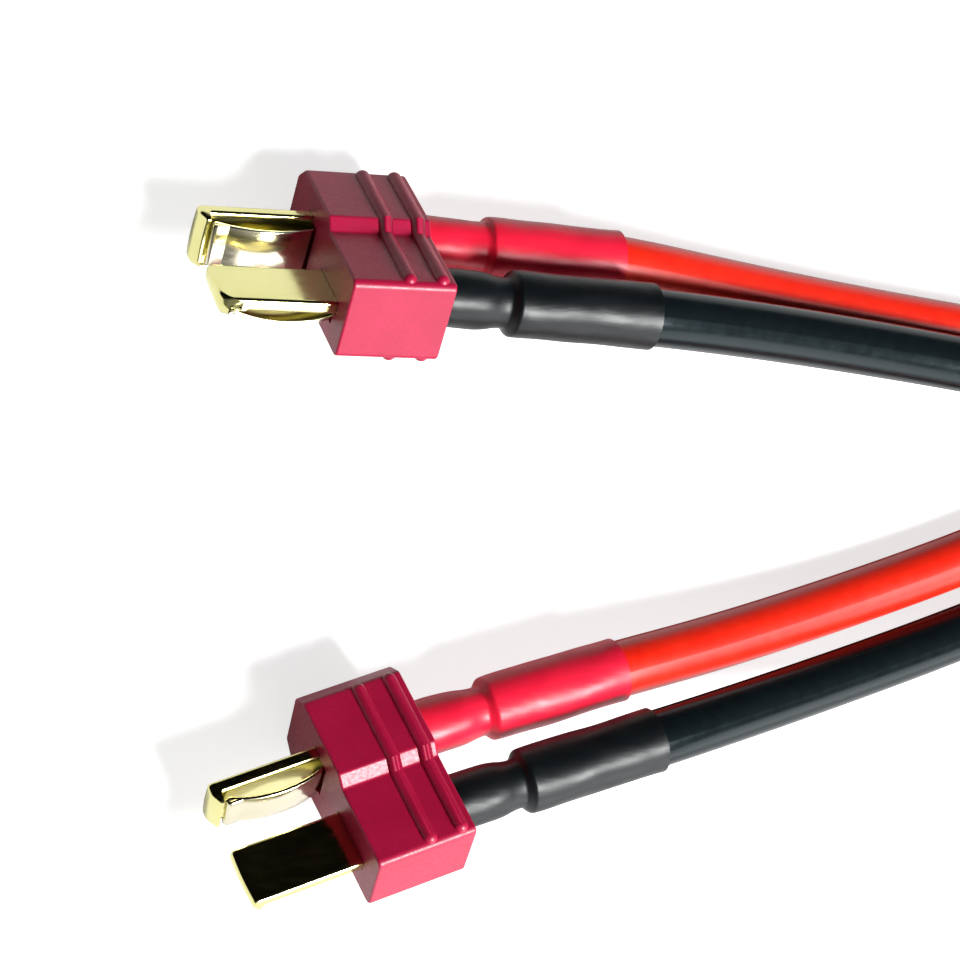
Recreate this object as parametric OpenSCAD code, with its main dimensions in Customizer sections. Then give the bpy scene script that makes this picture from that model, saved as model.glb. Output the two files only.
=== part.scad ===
// Parallel battery harness: two male T-plugs wired side by side to one female T-socket.
// All sizes are in millimetres. +X runs from the plugs to the socket, +Z is up,
// and the harness lies on z = 0.

/* [Housing] */
// Width of a moulded housing, across its two contacts
housing_w = 16; // [15.6:0.1:18]
// Length of a plug housing, from its mating face to its rear face
housing_l = 8.5; // [8:0.1:11]
// Thickness of the half that holds the upright contact
thick_t = 8.8; // [8.6:0.1:10]
// Thickness of the half that holds the flat contact
thin_t = 7; // [6.8:0.1:7.8]
// Width of the bevel between the two halves
step_run = 0.9; // [0.5:0.1:1.4]
// Chamfer of the thick end, along the width
chamfer_w = 1.2; // [0.8:0.1:1.6]
// Chamfer of the thick end, along the thickness
chamfer_t = 1.2; // [0.8:0.1:1.6]
// Radius of the moulded long edges
edge_r = 0.35; // [0.1:0.05:0.5]
// Radius of the moulded corners at both ends of the width
end_r = 0.6; // [0.3:0.1:0.8]

/* [Grip ribs] */
// Width of a half-round grip rib
rib_w = 1.2; // [0.8:0.05:1.5]
// Height of a grip rib over its face
rib_h = 0.45; // [0.25:0.05:0.5]
// Distance from the rear face to the first rib
rib_first = 1.1; // [0.9:0.1:1.5]
// Distance between the two ribs
rib_pitch = 2.7; // [2:0.1:3.5]
// Gap between a rib's end and the thin end of the housing
rib_end_gap = 0.3; // [0.2:0.1:1]

/* [Blades] */
// Length of a blade in front of the mating face
blade_l = 9.4; // [8.4:0.1:10.4]
// Width of a blade
blade_w = 4.9; // [4.2:0.1:5.1]
// Thickness of a blade
blade_t = 1.05; // [0.9:0.05:1.2]
// Bulge of the blade's front edge
tip_bulge = 0.3; // [0.1:0.05:0.6]
// Radius of the blade's front corners
tip_r = 0.6; // [0.4:0.1:1.2]
// Height of the hooked nose, from the blade's outer face
nose_h = 1.95; // [1.6:0.05:2.2]
// Length of the hooked nose along the blade
nose_l = 0.9; // [0.7:0.05:1.2]
// Outer face of the upright blade, from the middle of the housing
upright_face = 3.9; // [3.8:0.1:4.4]
// Middle of the flat blade, from the middle of the housing
flat_middle = 3.55; // [3.5:0.05:3.9]
// Outer face of the flat blade, over the middle of the housing
flat_face = 0.25; // [0:0.05:0.5]
// Width of a solder tab
tab_w = 3; // [2.4:0.1:3.2]
// Length of a solder tab behind the rear face
tab_l = 4.8; // [4.2:0.1:5]
// Plastic left behind the wide part of a contact
rear_wall = 2.2; // [1.5:0.1:3]
// Clearance of a pressed-in contact in its pocket
seat_gap = 0.03; // [0.02:0.01:0.06]

/* [Leaf springs] */
// Thickness of a leaf spring
leaf_t = 0.35; // [0.25:0.05:0.4]
// Width of a leaf spring
leaf_w = 3.6; // [3.2:0.1:4]
// Gap between a blade and the ends of its leaf spring
leaf_gap = 0.3; // [0.25:0.05:0.4]
// Rise of the leaf spring's bow over its ends
leaf_bow = 0.9; // [0.6:0.05:1.1]
// Travel of the leaf spring when it is pressed flat
leaf_travel = 0.2; // [0.1:0.05:0.2]
// Length of the rolled front end
roll_l = 1.5; // [1:0.1:1.8]
// Thickness of the rolled front end
roll_t = 0.75; // [0.6:0.05:0.8]
// Clearance of the leaf spring behind the nose and in its pocket
leaf_clear = 0.2; // [0.15:0.05:0.25]
// Depth of the leaf spring's tail inside the housing
tail_in = 0.6; // [0.4:0.1:1]

/* [Wires] */
// Outer diameter of the silicone insulation
wire_d = 4.6; // [4.3:0.05:4.6]
// Diameter of the tinned strand bundle
core_d = 2.7; // [2.4:0.05:2.8]
// Distance from a plug's rear face to the cut end of the insulation
strip_l = 6.8; // [6.6:0.1:6.8]
// Diameter of the solder around a plug's tab
solder_d = 3.9; // [3.8:0.05:4]

/* [Sleeves] */
// Wall of the heat-shrink sleeve
sleeve_wall = 0.35; // [0.2:0.05:0.4]
// Length of a plug's sleeve
sleeve_l = 18.5; // [14:0.5:18.5]
// Clearance of a sleeve around what it is shrunk on
sleeve_gap = 0.04; // [0.03:0.01:0.06]
// Length of a socket's sleeve
socket_sleeve_l = 13; // [10:0.5:13]

/* [Socket] */
// Length of the socket housing, from its rear face to its mouth
socket_l = 17.4; // [16:0.1:20]
// Depth of the socket's slots past a blade's length
slot_spare = 0.4; // [0.2:0.1:1]
// Clearance of a blade in its slot, on each side
slot_gap = 0.15; // [0.1:0.05:0.25]
// Thickness of a socket contact
plate_t = 0.9; // [0.7:0.05:1]
// Distance from the socket's mouth to the edge of its contacts
plate_inset = 0.8; // [0.4:0.1:1.5]
// Length of a solder tab behind the socket's rear face
socket_tab_l = 4.2; // [3.8:0.1:4.4]
// Distance from the socket's rear face to the cut end of the insulation
socket_strip_l = 6.5; // [6.2:0.1:6.5]

/* [Lay of the harness] */
// Roll of the first plug about its own length, in degrees
plug_a_roll = 56; // [50:1:62]
// Roll of the second plug about its own length, in degrees
plug_b_roll = 38; // [32:1:44]
// Heading of the second plug, in degrees
plug_b_heading = 17.5; // [15:0.5:20]

/* [Hidden] */
$fn = 48;

crimson = "#A8143C";
gold = "#E2C46C";
spring_gold = "#E9D8A0";
solder_grey = "#B9BDC2";
wire_red = "#E4331F";
wire_black = "#17191C";
sleeve_red = "#D6203E";
sleeve_black = "#2C3437";

// Places of the three rear faces on the ground, where the wires leave
plug_a_at = [-53.7, 21.4];
plug_b_at = [-51.2, -18.25];
socket_at = [54, 8.9];

// Turn of the wires and their sleeves against the plugs, and the first red wire's set to the side
lean = 2.5;
red_set = 0.25;

// Routes of the four wires between their cut ends, as laid on the ground
route_a_red = [
    [-46.9, 23.25, 5.6], [-40.9, 23, 5.6], [-34.9, 22.7, 5.6], [-28, 21.8, 4.6], [-21, 20.8, 3.4],
    [-14, 19.9, 2.6], [-7, 19.2, 2.3], [0, 18.4, 2.3], [7, 17.7, 2.3], [14, 16.9, 2.6],
    [21, 16, 3.5], [28, 15, 5.2], [34.5, 13.8, 6.9], [41, 12.8, 7.4], [47.5, 12.8, 7.4]
];
route_a_black = [
    [-46.9, 18.9, 11.15], [-40.9, 18.65, 11.15], [-34.9, 18.35, 11.15], [-28, 18.1, 10], [-21, 17.5, 8.7],
    [-14, 16.8, 7.4], [-7, 16.1, 6.5], [0, 15.4, 6.1], [7, 14.5, 5.9], [14, 13.3, 6.1],
    [21, 11.7, 6.6], [28, 9.7, 7.1], [34.5, 7.4, 7.4], [41, 5.3, 7.4], [47.5, 5.3, 7.4]
];
route_b_red = [
    [-45.4, -13.95, 5.75], [-39.65, -12.4, 5.75], [-33.85, -10.85, 5.75], [-28, -9.9, 5], [-21, -8.3, 3.9],
    [-14, -6.3, 2.9], [-7, -4.4, 2.4], [0, -2.3, 2.3], [7, 0.1, 2.3], [14, 2.9, 2.3],
    [21, 6.2, 2.3], [28, 9.4, 2.3], [34.5, 11.9, 2.4], [41, 12.8, 2.75], [47.5, 12.8, 2.75]
];
route_b_black = [
    [-43.7, -19.3, 9.8], [-37.95, -17.75, 9.8], [-32.15, -16.2, 9.8], [-28, -15.2, 9.2], [-21, -13.8, 7.5],
    [-14, -12.2, 5.5], [-7, -10.5, 4], [0, -8.7, 2.9], [7, -6.5, 2.4], [14, -3.9, 2.3],
    [21, -0.9, 2.3], [28, 2.1, 2.3], [34.5, 4.5, 2.4], [41, 5.3, 2.75], [47.5, 5.3, 2.75]
];
wire_sides = 12;

// Worked out from the sizes above
wide_depth = housing_l - rear_wall;
leaf_end = blade_t + leaf_gap;
leaf_height = leaf_end + leaf_t + leaf_bow;
slot_h = leaf_height - leaf_travel + slot_gap;
slot_depth = blade_l + slot_spare;
rib_r = (pow(rib_w / 2, 2) + pow(rib_h, 2)) / (2 * rib_h);
rib_sink = rib_r - rib_h;
core_r = core_d / 2;
tab_middle = blade_t / 2;
dome_r = 0.98 * rib_r;
solder_coat = 0.15;
rear_gap = 0.12;
overcut = 0.1;

function unit(v) = v / norm(v);

// One rounded corner at b, between a and c, as a few points on an arc of radius r
function corner_arc(a, b, c, r, steps = 4) =
    let (
        u = unit(a - b),
        v = unit(c - b),
        half = acos(u * v) / 2,
        middle = b + unit(u + v) * r / sin(half),
        from = b + u * r / tan(half) - middle,
        to = b + v * r / tan(half) - middle,
        start = atan2(from[1], from[0]),
        turn = (atan2(to[1], to[0]) - start + 540) % 360 - 180
    )
    [for (i = [0:steps]) middle + r * [cos(start + turn * i / steps), sin(start + turn * i / steps)]];

// An outline with every corner rounded to its own radius
function rounded(points, radii) =
    let (n = len(points))
    [for (i = [0:n - 1]) each corner_arc(points[(i + n - 1) % n], points[i], points[(i + 1) % n], radii[i])];

// Cross-section of both kinds of housing: y across the width, z through the thickness
function housing_outline() =
    let (
        w = housing_w / 2,
        thick = thick_t / 2,
        thin = thin_t / 2
    )
    rounded(
        [
            [-w, -thin], [-step_run, -thin], [0, -thick], [w - chamfer_w, -thick], [w, -thick + chamfer_t],
            [w, thick - chamfer_t], [w - chamfer_w, thick], [0, thick], [-step_run, thin], [-w, thin]
        ],
        [end_r, edge_r, edge_r, end_r, end_r, end_r, end_r, edge_r, edge_r, end_r]
    );

// Centres of a rib's half-round, from the thin end to the edge of the chamfer
function rib_path(side) =
    let (
        thin = thin_t / 2 - rib_sink,
        thick = thick_t / 2 - rib_sink
    )
    [
        [-housing_w / 2 + rib_end_gap + rib_w / 2, side * thin],
        [-step_run, side * thin],
        [0, side * thick],
        [housing_w / 2 - chamfer_w - 0.4 * rib_w, side * thick]
    ];

// Height of a housing's middle over the ground when it lies rolled on its chamfered end
function rest_height(roll) =
    let (rib_tip = rib_path(-1)[3])
    max(
        concat(
            [for (p = housing_outline()) p[0] * sin(roll) - p[1] * cos(roll)],
            [rib_tip[0] * sin(roll) - rib_tip[1] * cos(roll) + dome_r]
        )
    );

// Straight round rod between two points
module rod(a, b, r) {
    d = b - a;
    translate(a)
        rotate([0, acos(d[2] / norm(d)), atan2(d[1], d[0])])
            cylinder(h = norm(d), r = r);
}

// One grip rib across a broad face, with domed ends
module rib(x, side) {
    path = [for (p = rib_path(side)) [x, p[0], p[1]]];
    for (i = [0:len(path) - 2]) rod(path[i], path[i + 1], rib_r);
    for (p = path) translate(p) sphere(r = dome_r);
}

// Moulded body with its ribs; rear is the x of its rear face and dir points away from the wires
module housing_body(length, dir) {
    rotate([90, 0, 90])
        translate([0, 0, dir > 0 ? 0 : -length])
            linear_extrude(length) polygon(housing_outline());
    for (x = [rib_first, rib_first + rib_pitch], side = [-1, 1]) rib(dir * x, side);
}

// A contact's own frame: x = 0 at the mating face and +x towards the wires,
// outer face at z = 0, and the spring side below it
module at_flat() {
    translate([-housing_l, -flat_middle, flat_face]) children();
}

module at_upright() {
    translate([-housing_l, upright_face, 0]) rotate([-90, 0, 0]) children();
}

// Pocket in a plug housing for one contact and the tail of its leaf spring
module contact_pocket() {
    gap = [0, seat_gap, seat_gap];
    translate([-overcut, -blade_w / 2, -blade_t] - gap)
        cube([wide_depth + overcut, blade_w, blade_t] + 2 * gap);
    translate([0, -tab_w / 2, -blade_t] - gap)
        cube([housing_l + overcut, tab_w, blade_t] + 2 * gap);
    translate([-overcut, -leaf_w / 2 - leaf_clear, -leaf_end - leaf_t - leaf_clear - leaf_bow / 3])
        cube([tail_in + leaf_clear + overcut, leaf_w + 2 * leaf_clear, leaf_gap + leaf_t + leaf_bow / 3 + leaf_clear]);
}

module plug_housing() {
    difference() {
        housing_body(housing_l, -1);
        at_flat() contact_pocket();
        at_upright() contact_pocket();
    }
}

// Gold-plated bar: wide blade with a hooked nose in front, narrow solder tab behind
module blade() {
    back = housing_l + tab_l;
    plan = rounded(
        [
            [-blade_l, 0], [-blade_l + tip_bulge, -blade_w / 2], [wide_depth, -blade_w / 2],
            [wide_depth, -tab_w / 2], [back, -tab_w / 2], [back, tab_w / 2],
            [wide_depth, tab_w / 2], [wide_depth, blade_w / 2], [-blade_l + tip_bulge, blade_w / 2]
        ],
        [3, tip_r, 0.1, 0.1, 0.4, 0.4, 0.1, 0.1, tip_r]
    );
    side = rounded(
        [
            [-blade_l, 0], [back, 0], [back, -blade_t],
            [-blade_l + nose_l, -blade_t], [-blade_l + nose_l, -nose_h],
            [-blade_l + 0.6 * nose_l, -nose_h], [-blade_l, -0.9 * blade_t]
        ],
        [0.3, 0.05, 0.05, 0.1, 0.1, 0.3, 0.7]
    );
    intersection() {
        translate([0, 0, -nose_h - overcut]) linear_extrude(nose_h + 2 * overcut) polygon(plan);
        rotate([90, 0, 0]) linear_extrude(blade_w + 2 * overcut, center = true) polygon(side);
    }
}

// Bowed leaf spring with a rolled front end behind the nose and its tail in the housing
module leaf() {
    roll_x = -blade_l + nose_l + leaf_clear;
    front = roll_x + roll_t / 2;
    chord = tail_in - front;
    bow_r = pow(chord, 2) / (8 * leaf_bow) + leaf_bow / 2;
    half = asin(chord / 2 / bow_r);
    translate([(front + tail_in) / 2, 0, bow_r - leaf_end - leaf_bow])
        rotate([90, 0, 0]) rotate([0, 0, -90 - half])
            rotate_extrude(angle = 2 * half, $fn = 96)
                translate([bow_r, -leaf_w / 2]) square([leaf_t, leaf_w]);
    rotate([90, 0, 0])
        linear_extrude(leaf_w, center = true)
            polygon(rounded(
                [
                    [roll_x, -leaf_end], [roll_x + roll_l, -leaf_end],
                    [roll_x + roll_l, -leaf_end - roll_t], [roll_x, -leaf_end - roll_t]
                ],
                [for (i = [0:3]) roll_t * 0.49]
            ));
}

// Turn about the upright line through a tab at the rear face, with a set to the side
red_tab = [0, upright_face - tab_middle, 0];
black_tab = [0, -flat_middle, flat_face - tab_middle];

module leaned(roll, tab, side_set) {
    upright = [0, -sin(roll), cos(roll)];
    aside = [0, cos(roll), sin(roll)];
    translate(tab + side_set * aside) rotate(a = -lean, v = upright) translate(-tab) children();
}

// Solder around the tab and the tinned strands behind it, as one piece
module solder_body() {
    full = solder_d / 2;
    translate([housing_l, 0, -tab_middle])
        rotate([0, 90, 0])
            rotate_extrude()
                polygon([
                    [0, 0.3], [0.7 * full, 0.3], [full, 1], [full, tab_l - 0.6],
                    [core_r, tab_l + 0.5], [core_r, strip_l], [0, strip_l]
                ]);
}

module tab_cut() {
    translate([0, -tab_w / 2, -blade_t]) cube([housing_l + tab_l, tab_w, blade_t]);
}

module red_joint(roll, side_set = 0) {
    difference() {
        leaned(roll, red_tab, side_set) at_upright() solder_body();
        at_upright() tab_cut();
    }
}

module black_joint(roll) {
    difference() {
        leaned(roll, black_tab, 0) at_flat() solder_body();
        at_flat() tab_cut();
    }
}

// Heat-shrink sleeve: swollen over the solder, drawn in behind it, then tight on the insulation
module sleeve() {
    over_solder = solder_d / 2 + sleeve_gap;
    over_neck = core_r + 0.3;
    over_wire = wire_d / 2 + sleeve_gap;
    inside = [
        [over_solder - 0.1, rear_gap], [over_solder, 0.8], [over_solder, tab_l - 0.4],
        [over_neck + 0.12, tab_l + 0.3], [over_neck, tab_l + 0.8], [over_neck + 0.15, strip_l - 0.6],
        [over_wire, strip_l - 0.1], [over_wire, sleeve_l]
    ];
    outside = [for (i = [len(inside) - 1:-1:0]) inside[i] + [sleeve_wall, 0]];
    translate([housing_l, 0, -tab_middle])
        rotate([0, 90, 0]) rotate_extrude() polygon(concat(inside, outside));
}

// A plug as it lies: rolled onto its chamfered end, with its rear face at its place
module lay_plug_a() {
    translate([plug_a_at[0], plug_a_at[1], rest_height(plug_a_roll)])
        rotate([-plug_a_roll, 0, 0]) children();
}

module lay_plug_b() {
    translate([plug_b_at[0], plug_b_at[1], rest_height(plug_b_roll)])
        rotate([0, 0, plug_b_heading]) rotate([-plug_b_roll, 0, 0]) children();
}

// The socket lies flat, with its mouth towards +X
socket_z = thick_t / 2 + rib_h;

module lay_socket() {
    translate([socket_at[0], socket_at[1], socket_z]) children();
}

module at_socket_flat() {
    translate([socket_l, -flat_middle, flat_face]) mirror([1, 0, 0]) children();
}

module at_socket_upright() {
    translate([socket_l, upright_face, 0]) mirror([1, 0, 0]) rotate([-90, 0, 0]) children();
}

// Slot for a blade with its leaf spring, with room for the contact over it
module socket_pocket() {
    gap = [0, seat_gap, seat_gap];
    slot_w = blade_w + 2 * slot_gap;
    translate([-overcut, -slot_w / 2, slot_gap - slot_h])
        cube([slot_depth + overcut, slot_w, slot_h + plate_t / 2]);
    translate([-overcut, -blade_w / 2, slot_gap] - gap)
        cube([socket_l - rear_wall + overcut, blade_w, plate_t] + 2 * gap);
    translate([0, -tab_w / 2, slot_gap] - gap)
        cube([socket_l + overcut, tab_w, plate_t] + 2 * gap);
}

module socket_body() {
    difference() {
        housing_body(socket_l, 1);
        at_socket_flat() socket_pocket();
        at_socket_upright() socket_pocket();
    }
}

// Flat contact plate along the slot's outer wall, with a narrow solder tab behind
module socket_contact() {
    wide_end = socket_l - rear_wall;
    back = socket_l + socket_tab_l;
    plan = rounded(
        [
            [plate_inset, -blade_w / 2], [wide_end, -blade_w / 2], [wide_end, -tab_w / 2], [back, -tab_w / 2],
            [back, tab_w / 2], [wide_end, tab_w / 2], [wide_end, blade_w / 2], [plate_inset, blade_w / 2]
        ],
        [0.4, 0.1, 0.1, 0.4, 0.4, 0.1, 0.1, 0.4]
    );
    translate([0, 0, slot_gap]) linear_extrude(plate_t) polygon(plan);
}

// Middle of a socket tab in the harness frame, at a distance behind the rear face
flat_tab = [-flat_middle, flat_face + slot_gap + plate_t / 2];
upright_tab = [upright_face + slot_gap + plate_t / 2, 0];

function behind_socket(yz, distance) =
    [socket_at[0] - distance, socket_at[1] + yz[0], socket_z + yz[1]];

// Two tinned strand bundles soldered to one socket tab, each bent to its own wire
module strand_run(on_tab, route) {
    wire_end = route[len(route) - 1];
    rod(behind_socket(on_tab, 0.5), behind_socket(on_tab, socket_tab_l), core_r);
    rod(behind_socket(on_tab, socket_tab_l - 1.2), wire_end + [1.2, 0, 0], 0.95 * core_r);
    rod(wire_end + [1.6, 0, 0], wire_end, core_r);
}

module socket_joint(tab, tab_size, on_tab_a, on_tab_b, route_a, route_b) {
    coat = tab_size + 2 * [solder_coat, solder_coat];
    difference() {
        union() {
            strand_run(on_tab_a, route_a);
            strand_run(on_tab_b, route_b);
            translate(behind_socket(tab, socket_tab_l - 0.3) - [0, coat[0] / 2, coat[1] / 2])
                cube([socket_tab_l - 0.7, coat[0], coat[1]]);
        }
        translate(behind_socket(tab, socket_tab_l + overcut) - [0, tab_size[0] / 2, tab_size[1] / 2])
            cube([socket_tab_l + 2 * overcut, tab_size[0], tab_size[1]]);
    }
}

flat_strand = plate_t / 2 + 0.85 * core_r;
upright_strand = [upright_tab[0] - plate_t / 2 - 0.85 * core_r, 0.92 * core_r];

module red_socket_joint() {
    socket_joint(
        upright_tab, [plate_t, tab_w],
        upright_strand, [upright_strand[0], -upright_strand[1]],
        route_a_red, route_b_red
    );
}

module black_socket_joint() {
    socket_joint(
        flat_tab, [tab_w, plate_t],
        flat_tab + [0, flat_strand], flat_tab - [0, flat_strand],
        route_a_black, route_b_black
    );
}

// One ring of an upright oval, half_w wide and half_h high on each side of its middle
oval_sides = 24;

function oval_ring(x, middle, half_w, half_h) =
    [
        for (i = [0:oval_sides - 1])
            let (turn = 360 * (i + 0.5) / oval_sides)
            [x, middle[0] + half_w * cos(turn), middle[1] + (half_h - half_w) * sign(sin(turn)) + half_w * sin(turn)]
    ];

// Solid between rings that follow one another; a closed row of rings makes a tube wall
function ring_faces(rings, sides, closed) =
    [
        for (r = [0:rings - (closed ? 1 : 2)], s = [0:sides - 1])
            let (
                a = r * sides + s,
                b = r * sides + (s + 1) % sides,
                c = ((r + 1) % rings) * sides + (s + 1) % sides,
                d = ((r + 1) % rings) * sides + s
            )
            each [[a, b, c], [a, c, d]]
    ];

// Wide sleeve over two stacked wires and their soldered tab
module socket_sleeve(route_top, route_low, joint_middle, joint_half_w, joint_half_h) {
    top = route_top[len(route_top) - 1];
    low = route_low[len(route_low) - 1];
    wires_middle = [(top[1] + low[1]) / 2, (top[2] + low[2]) / 2];
    wires_half_h = (top[2] - low[2] + wire_d) / 2 + sleeve_gap;
    wires_half_w = wire_d / 2 + sleeve_gap;
    rear = socket_at[0];
    over_wires = 0.95 * socket_strip_l;
    blend = [
        [0, 0], [0, 0.4 * socket_strip_l], [0.35, 0.62 * socket_strip_l], [0.8, 0.8 * socket_strip_l],
        [1, over_wires], [1, (over_wires + socket_sleeve_l) / 2], [1, socket_sleeve_l]
    ];
    inner = [
        for (b = blend)
            oval_ring(
                rear - b[1],
                joint_middle + b[0] * (wires_middle - joint_middle),
                joint_half_w + b[0] * (wires_half_w - joint_half_w),
                joint_half_h + b[0] * (wires_half_h - joint_half_h)
            )
    ];
    outer = [
        for (b = blend)
            oval_ring(
                rear - b[1],
                joint_middle + b[0] * (wires_middle - joint_middle),
                joint_half_w + sleeve_wall + b[0] * (wires_half_w - joint_half_w),
                joint_half_h + sleeve_wall + b[0] * (wires_half_h - joint_half_h)
            )
    ];
    rings = concat(outer, [for (i = [len(inner) - 1:-1:0]) inner[i]]);
    polyhedron(
        points = [for (ring = rings) each ring],
        faces = ring_faces(len(rings), oval_sides, true),
        convexity = 4
    );
}

module red_socket_sleeve() {
    inner_y = upright_strand[0] - core_r;
    outer_y = upright_tab[0] + plate_t / 2 + solder_coat;
    socket_sleeve(
        route_a_red, route_b_red,
        [socket_at[1] + (inner_y + outer_y) / 2, socket_z],
        (outer_y - inner_y) / 2 + 0.2,
        upright_strand[1] + core_r + 0.4
    );
}

module black_socket_sleeve() {
    socket_sleeve(
        route_a_black, route_b_black,
        [socket_at[1] + flat_tab[0], socket_z + flat_tab[1]],
        tab_w / 2 + 0.3,
        flat_strand + core_r + 0.1
    );
}

// Insulated wire: one ring at each point of its route, square to the way the route runs there
function route_heading(route, i) =
    unit(route[min(i + 1, len(route) - 1)] - route[max(i - 1, 0)]);

function route_ring(route, i) =
    let (
        along = route_heading(route, i),
        across = unit(cross([0, 0, 1], along)),
        over = cross(along, across)
    )
    [
        for (s = [0:wire_sides - 1])
            let (turn = 360 * s / wire_sides)
            route[i] + wire_d / 2 * (cos(turn) * across + sin(turn) * over)
    ];

module wire(route) {
    n = len(route);
    last = (n - 1) * wire_sides;
    polyhedron(
        points = [for (i = [0:n - 1]) each route_ring(route, i)],
        faces = concat(
            [[for (s = [wire_sides - 1:-1:0]) s]],
            [for (f = ring_faces(n, wire_sides, false)) [f[0], f[1], f[2]]],
            [[for (s = [0:wire_sides - 1]) last + s]]
        ),
        convexity = 6
    );
}

module plug_a_housing() { color(crimson) lay_plug_a() plug_housing(); }
module plug_a_flat_blade() { color(gold) lay_plug_a() at_flat() blade(); }
module plug_a_upright_blade() { color(gold) lay_plug_a() at_upright() blade(); }
module plug_a_flat_leaf() { color(spring_gold) lay_plug_a() at_flat() leaf(); }
module plug_a_upright_leaf() { color(spring_gold) lay_plug_a() at_upright() leaf(); }
module plug_a_red_joint() { color(solder_grey) lay_plug_a() red_joint(plug_a_roll, red_set); }
module plug_a_black_joint() { color(solder_grey) lay_plug_a() black_joint(plug_a_roll); }
module plug_a_red_sleeve() { color(sleeve_red) lay_plug_a() leaned(plug_a_roll, red_tab, red_set) at_upright() sleeve(); }
module plug_a_black_sleeve() { color(sleeve_black) lay_plug_a() leaned(plug_a_roll, black_tab, 0) at_flat() sleeve(); }

module plug_b_housing() { color(crimson) lay_plug_b() plug_housing(); }
module plug_b_flat_blade() { color(gold) lay_plug_b() at_flat() blade(); }
module plug_b_upright_blade() { color(gold) lay_plug_b() at_upright() blade(); }
module plug_b_flat_leaf() { color(spring_gold) lay_plug_b() at_flat() leaf(); }
module plug_b_upright_leaf() { color(spring_gold) lay_plug_b() at_upright() leaf(); }
module plug_b_red_joint() { color(solder_grey) lay_plug_b() red_joint(plug_b_roll); }
module plug_b_black_joint() { color(solder_grey) lay_plug_b() black_joint(plug_b_roll); }
module plug_b_red_sleeve() { color(sleeve_red) lay_plug_b() leaned(plug_b_roll, red_tab, 0) at_upright() sleeve(); }
module plug_b_black_sleeve() { color(sleeve_black) lay_plug_b() leaned(plug_b_roll, black_tab, 0) at_flat() sleeve(); }

module socket_housing() { color(crimson) lay_socket() socket_body(); }
module socket_flat_contact() { color(gold) lay_socket() at_socket_flat() socket_contact(); }
module socket_upright_contact() { color(gold) lay_socket() at_socket_upright() socket_contact(); }
module socket_red_joint() { color(solder_grey) red_socket_joint(); }
module socket_black_joint() { color(solder_grey) black_socket_joint(); }
module socket_red_sleeve() { color(sleeve_red) red_socket_sleeve(); }
module socket_black_sleeve() { color(sleeve_black) black_socket_sleeve(); }

module wire_a_red() { color(wire_red) wire(route_a_red); }
module wire_a_black() { color(wire_black) wire(route_a_black); }
module wire_b_red() { color(wire_red) wire(route_b_red); }
module wire_b_black() { color(wire_black) wire(route_b_black); }

plug_a_housing();
plug_a_flat_blade();
plug_a_upright_blade();
plug_a_flat_leaf();
plug_a_upright_leaf();
plug_a_red_joint();
plug_a_black_joint();
plug_a_red_sleeve();
plug_a_black_sleeve();
plug_b_housing();
plug_b_flat_blade();
plug_b_upright_blade();
plug_b_flat_leaf();
plug_b_upright_leaf();
plug_b_red_joint();
plug_b_black_joint();
plug_b_red_sleeve();
plug_b_black_sleeve();
socket_housing();
socket_flat_contact();
socket_upright_contact();
socket_red_joint();
socket_black_joint();
socket_red_sleeve();
socket_black_sleeve();
wire_a_red();
wire_a_black();
wire_b_red();
wire_b_black();
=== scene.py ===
import math

import bmesh
import bpy
from mathutils import Matrix, Vector


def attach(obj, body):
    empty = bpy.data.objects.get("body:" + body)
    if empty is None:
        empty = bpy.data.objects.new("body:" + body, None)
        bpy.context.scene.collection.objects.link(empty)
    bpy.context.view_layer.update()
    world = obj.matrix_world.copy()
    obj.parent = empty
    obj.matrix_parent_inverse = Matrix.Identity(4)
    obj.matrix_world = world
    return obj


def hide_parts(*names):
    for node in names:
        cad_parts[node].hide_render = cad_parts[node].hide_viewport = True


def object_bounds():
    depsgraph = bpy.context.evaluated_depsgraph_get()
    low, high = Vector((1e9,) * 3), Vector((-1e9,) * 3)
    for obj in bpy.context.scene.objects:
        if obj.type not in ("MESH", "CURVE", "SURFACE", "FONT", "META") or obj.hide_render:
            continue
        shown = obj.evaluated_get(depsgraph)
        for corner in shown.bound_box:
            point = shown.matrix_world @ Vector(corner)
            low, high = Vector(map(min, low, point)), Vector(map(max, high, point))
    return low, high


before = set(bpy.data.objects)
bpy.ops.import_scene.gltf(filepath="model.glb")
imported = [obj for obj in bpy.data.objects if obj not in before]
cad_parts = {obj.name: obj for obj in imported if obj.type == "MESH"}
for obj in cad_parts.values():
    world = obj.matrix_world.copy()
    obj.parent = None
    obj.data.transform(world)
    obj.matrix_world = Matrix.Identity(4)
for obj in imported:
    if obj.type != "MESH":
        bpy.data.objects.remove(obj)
cad_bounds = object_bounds()

# The view. The camera stands over the blades of the two plugs and looks steeply down at
# the harness, rolled a little, so that the wires leave the picture on its right.
MM = 0.001
picture_right = Vector((0.91757, 0.03342, 0.39617))
picture_up = Vector((-0.01657, 0.99881, -0.04587))
towards_camera = Vector((-0.39723, 0.03553, 0.91703))
camera_place = Vector((-142.95, 13.29, 228.22)) * MM

camera_data = bpy.data.cameras.new("photo_camera")
camera_data.sensor_width = 36
camera_data.lens = 112.5
camera_data.clip_start = 0.01
camera_data.clip_end = 20
camera = bpy.data.objects.new("photo_camera", camera_data)
bpy.context.scene.collection.objects.link(camera)
camera_turn = Matrix((picture_right, picture_up, towards_camera)).transposed().to_4x4()
camera.matrix_world = Matrix.Translation(camera_place) @ camera_turn
bpy.context.scene.camera = camera


# The wires. Fine-stranded copper in soft silicone rubber, extruded round and glossy.
# Each runs from under its sleeve at a plug, down to the table, and up into the socket.
def linear(hex_colour, alpha=1.0):
    channels = [int(hex_colour[i:i + 2], 16) / 255 for i in (1, 3, 5)]
    return [c / 12.92 if c <= 0.04045 else ((c + 0.055) / 1.055) ** 2.4 for c in channels] + [alpha]


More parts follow.
